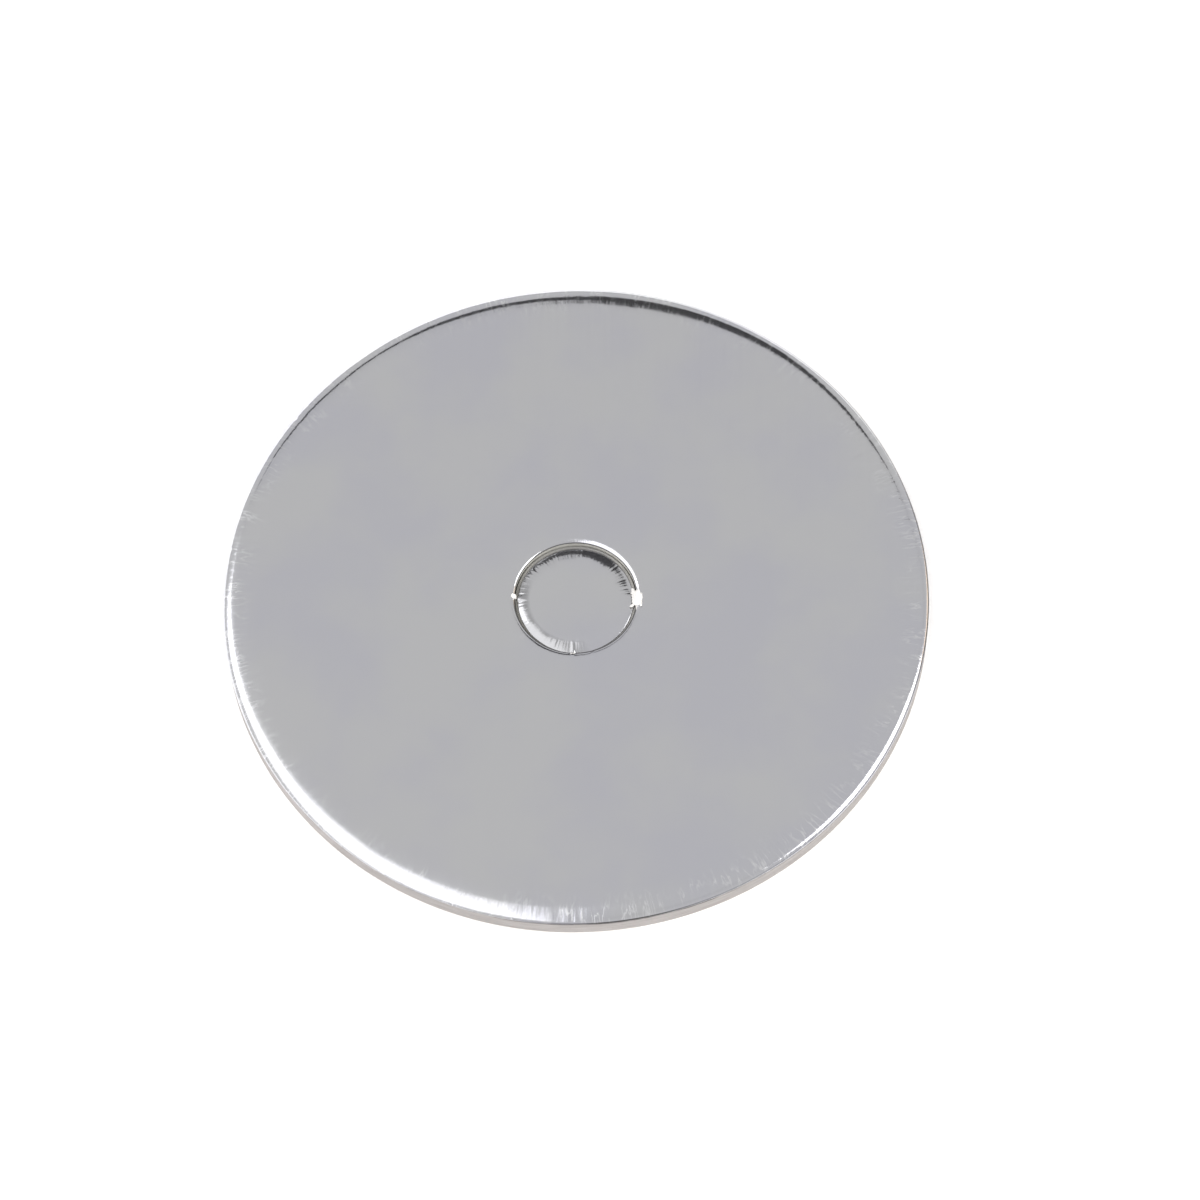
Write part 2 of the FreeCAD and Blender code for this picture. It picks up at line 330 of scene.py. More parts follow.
    # Round the front of the opening the lip turns down away from the front, and the dark line is
    # wider there: painted shade on the rolled lip.
    front = add("ShaderNodeMapRange", (heading.outputs["Y"], 0.15, -0.25, 0, 0.85), **SMOOTH)
    lip_crush_and_shade = add("ShaderNodeMapRange", (beyond, 0.12 * MM, 0.28 * MM, 1, 0), **SMOOTH)
    ring = add("ShaderNodeMath", (beyond, 0.0), operation="GREATER_THAN")
    for share in (front, ring):
        lip_crush_and_shade = add("ShaderNodeMath", (lip_crush_and_shade, share), operation="MULTIPLY")
    crush_and_shade_line = add("ShaderNodeMath", (outer_crush_and_shade, inner_crush_and_shade), operation="MAXIMUM")
    crush_and_shade_line = add("ShaderNodeMath", (crush_and_shade_line, lip_crush_and_shade), operation="MAXIMUM")

    tint = add("ShaderNodeMapRange", (cloud, 0.35, 0.7, 0, 1), **SMOOTH)
    finish = add("ShaderNodeMix", {
        SHARE: tint, UNDER: opaque(colours.film), OVER: opaque(colours.film_cloud),
    }, data_type="RGBA")
    # The creases are worn matt, and painted lighter as fine pale hairs: a painted highlight.
    # The plug's shoulder is painted darker on its front left: painted shade. The dark lines are
    # the crushed edge and painted shade.
    for share, over in (
        (crease, opaque(colours.film, 1.16)),
        (rubbed_and_shaded, opaque(colours.film, 0.63)),
        (crush_and_shade_line, opaque(colours.crushed_edge_and_shade)),
    ):
        finish = add("ShaderNodeMix", {SHARE: share, UNDER: finish, OVER: over}, data_type="RGBA")
    gloss = add("ShaderNodeMapRange", (streaks, 0.3, 0.7, 0.09, 0.14), **SMOOTH)
    for wear, dulling in ((crease, 0.12), (scuffed_and_lit, 0.13), (rubbed_and_shaded, 0.07)):
        gloss = add("ShaderNodeMath", (wear, dulling, gloss), operation="MULTIPLY_ADD")
    shader = add("ShaderNodeBsdfPrincipled", {
        "Base Color": finish,
        "Metallic": 1.0,
        "Roughness": gloss,
        "Coat Weight": 0.25,
        "Coat Roughness": 0.06,
        "Coat IOR": 1.57,
        "Normal": bump,
    })
    add("ShaderNodeOutputMaterial", {"Surface": shader})
    return material


def pressed_greyboard(colours, sizes):
    """Recycled pulp pressed in layers, cut with a steel rule: matt, warm grey, in fine strata."""
    material, add = new_material("die_cut_greyboard")
    place = add("ShaderNodeTexCoord").outputs["Object"]
    # The pulp layers are about 0.16 mm thick and run on for some 5 mm.
    lie = add("ShaderNodeMapping", {
        "Vector": place, "Scale": (1 / (5 * MM), 1 / (5 * MM), 1 / (0.16 * MM)),
    })
    strata = add("ShaderNodeTexNoise", {
        "Vector": lie, "Scale": 1.0, "Detail": 3.0, "Roughness": 0.6,
    })
    # Fibre bundles, about 0.25 mm across, drawn coarser than the real 0.03 mm so that they show.
    fibres = add("ShaderNodeTexNoise", {
        "Vector": place, "Scale": 1 / (0.25 * MM), "Detail": 5.0, "Roughness": 0.7,
    })
    # Specks of printed waste in the pulp, up to 0.15 mm, about 0.9 mm apart.
    specks = add("ShaderNodeTexVoronoi", {
        "Vector": place, "Scale": 1 / (0.9 * MM), "Randomness": 1.0,
    })
    dark = add("ShaderNodeMapRange", (strata, 0.38, 0.68, 0, 0.7), **SMOOTH)
    ink = add("ShaderNodeMapRange", (specks, 0.06, 0.16, 0.75, 0), **SMOOTH)
    shade = add("ShaderNodeMath", (dark, ink), operation="MAXIMUM")

    # Glue squeezed from under the film, and painted shade under the film's edge, darken the top
    # 0.3 mm of the cut, in stretches.
    split = add("ShaderNodeSeparateXYZ", (place,))
    flat = add("ShaderNodeVectorMath", (place, (1, 1, 0)), operation="MULTIPLY")
    radius = add("ShaderNodeVectorMath", (flat,), operation="LENGTH")
    outside = add("ShaderNodeMath", (radius, 2 * sizes.opening_radius), operation="GREATER_THAN")
    flat_top = high("board_upper_ply")
    edge = add("ShaderNodeMapRange", (
        outside, 0, 1, flat_top - sizes.lip_drop, flat_top - sizes.roll_drop))
    below = add("ShaderNodeMath", (edge, split.outputs["Z"]), operation="SUBTRACT")
    soaked_and_shaded = add("ShaderNodeMapRange", (below, 0.12 * MM, 0.34 * MM, 1, 0), **SMOOTH)
    stretches = add("ShaderNodeTexNoise", {
        "Vector": flat, "Scale": 1 / (9 * MM), "Detail": 3.0, "Roughness": 0.7,
    })
    glue_and_shade_line = add("ShaderNodeMapRange", (stretches, 0.42, 0.58, 0.25, 1), **SMOOTH)
    for share in (soaked_and_shaded, add("ShaderNodeMapRange", (outside, 0, 1, 0.35, 1))):
        glue_and_shade_line = add("ShaderNodeMath", (glue_and_shade_line, share), operation="MULTIPLY")
    # The opening's wall is clean fresh pulp; the outer wall has picked up dust.
    pale = add("ShaderNodeMix", {
        SHARE: outside, UNDER: opaque(colours.fresh_pulp), OVER: opaque(colours.pulp),
    }, data_type="RGBA")
    dusty = add("ShaderNodeMix", {
        SHARE: outside, UNDER: opaque(colours.fresh_pulp, 0.6), OVER: opaque(colours.pulp_dark),
    }, data_type="RGBA")
    cut_pulp = add("ShaderNodeMix", {SHARE: shade, UNDER: pale, OVER: dusty}, data_type="RGBA")
    finish = add("ShaderNodeMix", {
        SHARE: glue_and_shade_line, UNDER: cut_pulp, OVER: opaque(colours.glue_and_shade),
    }, data_type="RGBA")
    # Heights in millimetres.
    height = add("ShaderNodeMath", (strata, 0.05), operation="MULTIPLY")
    height = add("ShaderNodeMath", (fibres, 0.03, height), operation="MULTIPLY_ADD")
    bump = add("ShaderNodeBump", {"Strength": 0.8, "Distance": MM, "Height": height})
    shader = add("ShaderNodeBsdfPrincipled", {
        "Base Color": finish,
        "Roughness": 0.92,
        "Specular IOR Level": 0.25,
        "Normal": bump,
    })
    add("ShaderNodeOutputMaterial", {"Surface": shader})
    return material


def uncoated_paper(name, rgb, fibre_shade):
    """Machine-made paper: matt, with a faint cloud of fibres and a soft tooth."""
    material, add = new_material(name)
    place = add("ShaderNodeTexCoord").outputs["Object"]
    # Formation clouds of the sheet and tooth of its surface: millimetres across, and detail.
    clouds, tooth = (add("ShaderNodeTexNoise", {
        "Vector": place, "Scale": 1 / (across * MM), "Detail": detail, "Roughness": 0.6,
    }) for across, detail in ((2.5, 4.0), (0.3, 3.0)))
    shade = add("ShaderNodeMapRange", (clouds, 0.35, 0.7, 0, 1), **SMOOTH)
    bump = add("ShaderNodeBump", {"Strength": 0.5, "Distance": 0.02 * MM, "Height": tooth})
    finish = add("ShaderNodeMix", {
        SHARE: shade, UNDER: opaque(rgb), OVER: opaque(rgb, fibre_shade),
    }, data_type="RGBA")
    shader = add("ShaderNodeBsdfPrincipled", {
        "Base Color": finish, "Roughness": 0.85, "Normal": bump,
    })
    add("ShaderNodeOutputMaterial", {"Surface": shader})
    return material


def finish_material(name):
    """One of the board's or the studio's materials, made the first time that it is asked for."""
    colours = bpy.context.scene.board_colours
    made = bpy.data.materials.get(name)
    if made:
        return made
    if name == "vacuum_metallised_polyester_film":
        return metallised_film(colours, bpy.context.scene.board_sizes)
    if name == "die_cut_greyboard":
        return pressed_greyboard(colours, bpy.context.scene.board_sizes)
    papers = {
        "uncoated_carrier_paper": (colours.carrier, 0.85),
        "torn_fibre_painted_highlight": (colours.torn_fibre_and_highlight, 0.88),
        "white_lining_paper": (colours.back, 0.94),
        "seamless_studio_paper": (colours.floor, 0.995),
        "black_flag_cloth": (colours.flag_cloth, 0.8),
    }
    rgb, fibre_shade = papers[name]
    return uncoated_paper(name, tuple(rgb), fibre_shade)


# ---------------- shape of the drawn-down laminate

# How a soft roll bends, and how far in from its cut each tight turn reaches.
ROLL_POWER = 4.0
SHOULDER_POWER = 2.0
TUCK_REACH = 0.08 * MM
LIP_TUCK_REACH = 0.06 * MM
SHOULDER_TUCK_REACH = 0.16 * MM

# The part of the full roll width, and of the full roll drop, found at each eighth of a turn,
# anticlockwise from the right.
WIDTH_SHARES = (0.42, 0.62, 0.98, 0.78, 0.52, 0.68, 0.78, 0.55)
DROP_SHARES = (0.55, 0.80, 1.0, 1.0, 0.90, 1.0, 1.0, 0.80)

# Waves that make an edge uneven as it goes round: the share of each, how close its waves are,
# and its seed.
ROLL_WAVES = ((0.10, 2.2, 3.1), (0.06, 11, 5.3), (0.04, 36, 8.8))
DROP_WAVES = ((0.04, 1.7, 7.7),)
DROP_LEVEL = 0.96
LIP_WAVES = ((0.15, 2.5, 9.4), (0.08, 9, 1.4))
SHOULDER_WAVES = ((0.16, 2.1, 13.2), (0.14, 5, 17.9), (0.05, 14, 23.7), (0.06, 34, 29.3))

# The seeds of the puckers at each cut, and how much stronger they are on the plug.
OUTER_PUCKERS, LIP_PUCKERS, PLUG_PUCKERS = 20.0, 40.0, 60.0
PLUG_PUCKER_SHARE = 1.4

# The plug's shoulder turns over more gently on the right of its front: direction and
# half-spread in degrees, then what that adds to the tuck and to the tuck's reach.
GENTLE_SIDE, GENTLE_SPREAD = -42, 30
GENTLE_TUCK, GENTLE_REACH = 1.3, 2.2
# It is narrower on the left of its front, where a thumb pressed it.
PRESSED_SIDE, PRESSED_SPREAD = -140, 40
PRESSED_NARROWING = 0.2

# The nicks: direction from the axis, width of the film left across the cut, and how far
# the torn film laps out over the board.
NICKS = {
    "east": (0.0, 2.9 * MM, 0.85 * MM),
    "south": (-91.0, 0.5 * MM, 0.02 * MM),
    "west": (180.0, 0.8 * MM, 0.5 * MM),
}
# How much of its fall the film is spared at a nick, and how softly that starts.
LIP_SPARED, LIP_SOFTNESS = 0.5, 0.5
SHOULDER_SPARED, SHOULDER_SOFTNESS = 0.35, 0.55
# The heights between which a torn nick leaves the cut wall ragged, and how ragged.
TORN_LOW, TORN_HIGH = 0.6 * MM, 2.7 * MM
TORN_DEPTH = 0.06 * MM

# Marks of handling in the film: direction from the axis in degrees, then millimetres:
# distance in from the cut, half-width round the disc, half-length along the spoke, depth.
HANDLING_MARKS = (
    (145.5, 0.0, 0.30, 0.7, 0.14),
    (172.0, 0.0, 0.25, 0.6, 0.12),
    (-117.0, 0.0, 0.30, 0.7, 0.06),
    (-100.0, 0.2, 0.25, 0.7, 0.05),
    (-89.0, 0.1, 0.18, 1.3, 0.06),
    (30.5, 3.6, 0.40, 1.0, 0.03),
)


def around(angle, waves, seed, drift=0.0):
    """Noise from -1 to 1 that closes on itself round the axis."""
    return noise.noise(Vector((math.cos(angle) * waves, math.sin(angle) * waves, seed + drift)))


def uneven(angle, waves, level=1.0):
    """A level that is made uneven by waves round the axis."""
    for share, closeness, seed in waves:
        level += share * around(angle, closeness, seed)
    return level


def turned(angle, degrees):
    """The turn from a direction in degrees to an angle, from -pi to pi."""
    gap = angle - math.radians(degrees)
    return math.atan2(math.sin(gap), math.cos(gap))


def towards(angle, degrees, spread):
    """How much a place lies in a direction, from 0 to 1, with a half-spread in degrees."""
    return math.exp(-(turned(angle, degrees) / math.radians(spread)) ** 2)


def by_direction(shares, angle):
    """A share read smoothly from a list of shares that goes once round the axis."""
    place = angle / math.tau * len(shares) % len(shares)
    first = int(place) % len(shares)
    blend = (place - int(place)) ** 2 * (3 - 2 * (place - int(place)))
    return shares[first] * (1 - blend) + shares[(first + 1) % len(shares)] * blend


def rolled(distance, width, drop, tuck, tuck_reach, power):
    """How far a drawn-down film lies below the flat, at a distance in from its cut."""
    soft = (drop - tuck) * max(0.0, 1 - distance / width) ** power
    return soft + tuck * math.exp(-max(distance, 0.0) / tuck_reach)


def pucker(sizes, distance, angle, radius, seed):
    """Fine wrinkles that run along the spokes and fade away from the cut."""
    fade = math.exp(-max(distance, 0.0) / sizes.pucker_reach)
    if fade < 0.01:
        return 0.0
    # Fine wrinkles 0.9 mm apart on broad ones 2.8 mm apart.
    fine = around(angle, radius / (0.9 * MM), seed, distance / (5 * MM))
    broad = around(angle, radius / (2.8 * MM), seed + 11, distance / (8 * MM))
    return sizes.pucker_depth * fade * (0.6 * fine + broad)


def nick_hold(angle, radius, softness):
    """Where the film was left uncut, from 0 to 1."""
    held = 0.0
    for degrees, width, _ in NICKS.values():
        across = abs(turned(angle, degrees)) * radius
        held = max(held, math.exp(-(across / (width * softness)) ** 4))
    return held


def handling(sizes, distance, angle):
    """The depth of the handling marks at a place on the board."""
    depth = 0.0
    for degrees, inset, half_width, half_length, deep in HANDLING_MARKS:
        across = turned(angle, degrees) * sizes.disc_radius / (half_width * MM)
        along = (distance - inset * MM) / (half_length * MM)
        if abs(across) < 3 and abs(along) < 3:
            depth += deep * MM * math.exp(-across ** 2 - along ** 2)
    return depth


def board_fall(sizes, radius, angle):
    """How far the board's face lies below its flat at one place."""
    outer = sizes.disc_radius - radius
    inner = radius - sizes.opening_radius
    width = sizes.roll_width * by_direction(WIDTH_SHARES, angle) * uneven(angle, ROLL_WAVES)
    drop = (sizes.roll_drop * by_direction(DROP_SHARES, angle)
            * uneven(angle, DROP_WAVES, DROP_LEVEL))
    fall = rolled(outer, width, drop, sizes.roll_tuck, TUCK_REACH, ROLL_POWER)
    lip_width = sizes.lip_width * uneven(angle, LIP_WAVES)
    lip = rolled(inner, lip_width, sizes.lip_drop, sizes.lip_tuck, LIP_TUCK_REACH,
                 SHOULDER_POWER)
    fall += lip * (1 - LIP_SPARED * nick_hold(angle, sizes.opening_radius, LIP_SOFTNESS))
    fall += pucker(sizes, outer, angle, sizes.disc_radius, OUTER_PUCKERS)
    fall += pucker(sizes, inner, angle, sizes.opening_radius, LIP_PUCKERS)
    return fall + handling(sizes, outer, angle)


def plug_fall(sizes, radius, angle):
    """How far the plug's face lies below its own flat at one place."""
    inward = sizes.plug_radius - radius
    gentle = towards(angle, GENTLE_SIDE, GENTLE_SPREAD)
    width = sizes.shoulder_width * uneven(angle, SHOULDER_WAVES)
    width *= 1 - PRESSED_NARROWING * towards(angle, PRESSED_SIDE, PRESSED_SPREAD)
    shoulder = rolled(inward, width, sizes.shoulder_drop,
                      sizes.shoulder_tuck * (1 + GENTLE_TUCK * gentle),
                      SHOULDER_TUCK_REACH * (1 + GENTLE_REACH * gentle), SHOULDER_POWER)
    held = nick_hold(angle, sizes.plug_radius, SHOULDER_SOFTNESS)
    puckers = pucker(sizes, inward, angle, sizes.plug_radius, PLUG_PUCKERS)
    return shoulder * (1 - SHOULDER_SPARED * held) + PLUG_PUCKER_SHARE * puckers


# ---------------- making a layer

BOARD_SEGMENTS = 1024
PLUG_SEGMENTS = 512
WEDGE_STEPS = 16
MERGE_DISTANCE = 0.0001 * MM
WALL_TOLERANCE = 0.001 * MM
SHARP_ANGLE = math.radians(20)
# The bands along the opening, the outer cut and the plug's cut where the rings crowd together,
# and how strongly they do.
OPENING_BAND, OUTER_BAND, PLUG_BAND = 6 * MM, 12 * MM, 5 * MM
OPENING_CROWDING, OUTER_CROWDING = 2.2, 2.0


def steps(start, stop, count, power=1.0):
    """Places from start to stop, closest together at the start where power is over 1."""
    return [start + (stop - start) * (i / count) ** power for i in range(count + 1)]


def board_radii(sizes, inset, inner_count, middle_count, outer_count):
    """Radii across the board, closest together at its two cuts."""
    first = sizes.opening_radius + inset
    last = sizes.disc_radius - inset
    inside = steps(first, sizes.opening_radius + OPENING_BAND, inner_count, OPENING_CROWDING)
    outside = steps(last, sizes.disc_radius - OUTER_BAND, outer_count, OUTER_CROWDING)[::-1]
    middle = steps(inside[-1], outside[0], middle_count)[1:-1]
    return inside + middle + outside


def plug_radii(sizes, inset, middle_count, outer_count):
    """Radii across the plug, from the axis to its cut."""
    last = sizes.plug_radius - inset
    outside = steps(last, sizes.plug_radius - PLUG_BAND, outer_count, OUTER_CROWDING)[::-1]
    return steps(0.0, outside[0], middle_count)[:-1] + outside


# The board and the plug: how each one's rings are spaced, its segments round the axis, how its
# face falls, and the seeds of its cut walls, the outer one first. The board is a ring.
BODIES = {
    "board": (board_radii, BOARD_SEGMENTS, board_fall, (2.0, 4.0)),
    "plug": (plug_radii, PLUG_SEGMENTS, plug_fall, (6.0,)),
}


def spun(outline, segments, closed):
    """A bmesh of an outline in the XZ plane, turned once round the axis.

    A narrow wedge is spun first, then doubled until it closes.
    """
    bm = bmesh.new()
    verts = [bm.verts.new((radius, 0.0, height)) for radius, height in outline]
    edges = [bm.edges.new(pair) for pair in zip(verts, verts[1:])]
    if closed:
        edges.append(bm.edges.new((verts[-1], verts[0])))
    wedge = math.tau * WEDGE_STEPS / segments
    bmesh.ops.spin(bm, geom=verts + edges, cent=(0, 0, 0), axis=(0, 0, 1), dvec=(0, 0, 0),
                   angle=wedge, steps=WEDGE_STEPS, use_duplicate=False)
    while wedge < math.tau - 0.001:
        copy = bmesh.ops.duplicate(bm, geom=bm.verts[:] + bm.edges[:] + bm.faces[:])["geom"]
        bmesh.ops.rotate(bm, cent=(0, 0, 0), matrix=Matrix.Rotation(wedge, 3, "Z"),
                         verts=[part for part in copy if isinstance(part, bmesh.types.BMVert)])
        wedge *= 2
    bmesh.ops.remove_doubles(bm, verts=bm.verts, dist=MERGE_DISTANCE)
    return bm


def draw_down(bm, sizes, body):
    """Lower each point by the fall of the face over it, less and less down to the ply joint."""
    _, _, fall_at, _ = BODIES[body]
    joint = low("board_upper_ply")
    flat_depth = high(f"{body}_upper_ply") - joint
    for vert in bm.verts:
        radius = math.hypot(vert.co.x, vert.co.y)
        angle = math.atan2(vert.co.y, vert.co.x)
        share = min(1.0, max(0.0, (vert.co.z - joint) / flat_depth))
        if share > 0:
            vert.co.z -= share * fall_at(sizes, radius, angle)


def fray_cut(bm, cut_radius, outward, sizes, seed):
    """Roughen a cut wall in thin strata, and tear it where the nicks were."""
    for vert in bm.verts:
        radius = math.hypot(vert.co.x, vert.co.y)
        if abs(radius - cut_radius) > WALL_TOLERANCE:
            continue
        angle = math.atan2(vert.co.y, vert.co.x)
        # Strata 0.22 mm thick that run on for 6 mm, and a grain under 1 mm.
        strata = around(angle, cut_radius / (6 * MM), seed, vert.co.z / (0.22 * MM))
        grain = around(angle, cut_radius / (0.7 * MM), seed + 30, vert.co.z / (0.3 * MM))
        push = -sizes.fray * (0.6 + 0.7 * strata + 0.4 * grain)
        if cut_radius < 2 * sizes.opening_radius and TORN_LOW < vert.co.z < TORN_HIGH:
            ragged = around(angle, cut_radius / (0.35 * MM), seed + 50, vert.co.z / (0.3 * MM))
            push += nick_hold(angle, cut_radius, LIP_SOFTNESS) * TORN_DEPTH * ragged
        reach = push if outward else -push
        vert.co.x += reach * math.cos(angle)
        vert.co.y += reach * math.sin(angle)


def object_from(bm, name, finish):
    """Turn a bmesh into an object at the origin, in one finish."""
    mesh = bpy.data.meshes.new(name)
    bm.to_mesh(mesh)
    bm.free()
    mesh.materials.append(finish_material(finish))
    made = bpy.data.objects.new(name, mesh)
    bpy.context.scene.collection.objects.link(made)
    return made


def piece_from(bm, name, finish, body, node=None):
    """Turn a bmesh into a finished piece on its body."""
    bmesh.ops.recalc_face_normals(bm, faces=bm.faces)
    piece = object_from(bm, name, finish)
    mesh = piece.data
    mesh.polygons.foreach_set("use_smooth", [True] * len(mesh.polygons))
    mesh.set_sharp_from_angle(angle=SHARP_ANGLE)
    if node:
        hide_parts(node)
    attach(piece, body)
    return piece


def make_sheet(layer, body, counts, inset, bottom, top, finish, drawn=True):
    """Make the board's or the plug's piece of one thin layer.

    A layer is the end of the piece's name and the end of the name of the node it stands for.
    """
    sizes = bpy.context.scene.board_sizes
    radii_of, segments, _, _ = BODIES[body]
    radii = radii_of(sizes, inset, *counts)
    # Along its top, then back along its underside.
    outline = [(r, top) for r in radii] + [(r, bottom) for r in reversed(radii)]
    bm = spun(outline, segments, body == "board")
    if drawn:
        draw_down(bm, sizes, body)
    piece_name, node_name = layer
    piece_from(bm, f"{body}_{piece_name}", finish, body, f"{body}_{node_name}")


def make_ply(layer, body, counts, bottom, top, wall_steps, drawn):
    """Make the board's or the plug's piece of one greyboard ply, with its cut walls frayed."""
    sizes = bpy.context.scene.board_sizes
    radii_of, segments, _, seeds = BODIES[body]
    radii = radii_of(sizes, sizes.set_back, *counts)
    # Along its top, down its outer wall, then up a ring's inner wall or back to the axis.
    outline = [(r, top) for r in radii]
    outline += [(radii[-1], h) for h in steps(top, bottom, wall_steps)[1:]]
    if body == "board":
        outline += [(radii[0], h) for h in steps(bottom, top, wall_steps)[:-1]]
    else:
        outline.append((0.0, bottom))
    bm = spun(outline, segments, body == "board")
    for cut_radius, outward, seed in zip((radii[-1], radii[0]), (True, False), seeds):
        fray_cut(bm, cut_radius, outward, sizes, seed)
    if drawn:
        draw_down(bm, sizes, body)
    piece_name, node_name = layer
    piece_from(bm, f"{body}_{piece_name}", "die_cut_greyboard", body,
               f"{body}_{node_name}")


# ---------------- operators

# How many bands of faces a layer has: on the board along the opening, between, and along the
# outer cut; on the plug in the middle, and along its cut.
FILM_BANDS = {"board": (12, 5, 18), "plug": (4, 16)}
DRAWN_BANDS = {"board": (7, 3, 10), "plug": (3, 9)}
LOWER_PLY_BANDS = {"board": (2, 1, 2), "plug": (2, 3)}
BACK_PAPER_BANDS = {"board": (2, 2, 3), "plug": (2, 3)}
# How many bands of faces a ply's cut wall has from top to bottom.
UPPER_WALL_BANDS, LOWER_WALL_BANDS = 8, 12


class DISPLAYBOARD_OT_face_films(bpy.types.Operator):
    """Make the metallised film on the board and on the plug"""
    bl_idname = "display_board.face_films"
    bl_label = "Face Films"

    def execute(self, context):
        for body, bands in FILM_BANDS.items():
            make_sheet(("film_sheet", "face_film"), body, bands, 0.0,
                       high(f"{body}_face_paper"), high(f"{body}_face_film"),
                       "vacuum_metallised_polyester_film")
        return {"FINISHED"}


class DISPLAYBOARD_OT_carrier_papers(bpy.types.Operator):
    """Make the paper that carries the film, which shows only as a line at each cut"""
    bl_idname = "display_board.carrier_papers"
    bl_label = "Carrier Papers"

    def execute(self, context):
        set_back = context.scene.board_sizes.set_back
        for body, bands in DRAWN_BANDS.items():
            make_sheet(("carrier_sheet", "face_paper"), body, bands, set_back,
                       high(f"{body}_upper_ply"), high(f"{body}_face_paper"),
                       "uncoated_carrier_paper")
        return {"FINISHED"}


class DISPLAYBOARD_OT_upper_plies(bpy.types.Operator):
    """Make the upper greyboard plies, crushed down under the film at each cut"""
    bl_idname = "display_board.upper_plies"
    bl_label = "Upper Plies"

    def execute(self, context):
        for body, bands in DRAWN_BANDS.items():
            make_ply(("upper_core", "upper_ply"), body, bands, low("board_upper_ply"),
                     high(f"{body}_upper_ply"), UPPER_WALL_BANDS, drawn=True)
        return {"FINISHED"}


class DISPLAYBOARD_OT_lower_plies(bpy.types.Operator):
    """Make the lower greyboard plies"""
    bl_idname = "display_board.lower_plies"
    bl_label = "Lower Plies"

    def execute(self, context):
        for body, bands in LOWER_PLY_BANDS.items():
            make_ply(("lower_core", "lower_ply"), body, bands, low("board_lower_ply"),
                     low("board_upper_ply"), LOWER_WALL_BANDS, drawn=False)
        return {"FINISHED"}


class DISPLAYBOARD_OT_back_papers(bpy.types.Operator):
    """Make the white paper on the underside of the board and of the plug"""
    bl_idname = "display_board.back_papers"
    bl_label = "Back Papers"

    def execute(self, context):
        set_back = context.scene.board_sizes.set_back
        for body, bands in BACK_PAPER_BANDS.items():
            make_sheet(("back_sheet", "back_paper"), body, bands, set_back, 0.0,
                       high("board_back_paper"), "white_lining_paper",
                       drawn=False)
        return {"FINISHED"}


# The scraps: the squares of their grid along and across, their thickness, and how crinkled
# they are on each side of the cut.
SCRAP_SQUARES = 22, 18
SCRAP_THICKNESS = 0.03 * MM
BOARD_CRINKLE, PLUG_CRINKLE = 0.03 * MM, 0.05 * MM
# How high a root lies over the film, and how long a lap has to be to bend over the lip.
ROOT_LIFT = 0.015 * MM
LONG_LAP = 0.1 * MM


def bend(first, middle, last, share):
    """A point on the curve that leaves first towards middle and arrives at last."""
    return first * (1 - share) ** 2 + middle * (2 * share * (1 - share)) + last * share ** 2


def torn_scrap(name, body, degrees, width, path, crinkle, seed):
    """A scrap of torn laminate along a path of (radius, height), crinkled and ragged at its tip.

    It is white all over: torn paper fibre, and a painted highlight for the glint at the nick.
    """
    bm = bmesh.new()
    bmesh.ops.create_grid(bm, x_segments=SCRAP_SQUARES[0], y_segments=SCRAP_SQUARES[1], size=0.5)
    first, middle, last = (Vector(point) for point in path)
    lean = math.radians(degrees)
    for vert in bm.verts:
        along, across = vert.co.x + 0.5, vert.co.y
        # Both ends are torn unevenly, and the sides wander in and out.
        tip = 1 + 0.5 * noise.noise(Vector((across * 7, seed, 0))) * along
        root = 0.3 * (1 - along) * (0.5 + noise.noise(Vector((across * 8, seed + 4, 0))))
        spot = bend(first, middle, last, min(1.0, max(0.0, along * tip + root)))
        wrinkle = crinkle * noise.noise(Vector((along * 3.1, across * 6.3, seed + 9)))
        wrinkle += 0.5 * crinkle * noise.noise(Vector((along * 7.7, across * 13.1, seed + 17)))
        wander = noise.noise(Vector((along * 5, seed, across * 2)))
        side = across * width * (1 - 0.3 * along ** 2 + 0.75 * wander)
        turn = lean + side / spot.x
        radius = spot.x + 0.4 * wrinkle
        vert.co = Vector((radius * math.cos(turn), radius * math.sin(turn), spot.y + wrinkle))
    scrap = piece_from(bm, name, "torn_fibre_painted_highlight", body)
    wall = scrap.modifiers.new("scrap_thickness", "SOLIDIFY")
    wall.thickness = SCRAP_THICKNESS
    wall.offset = 0.0


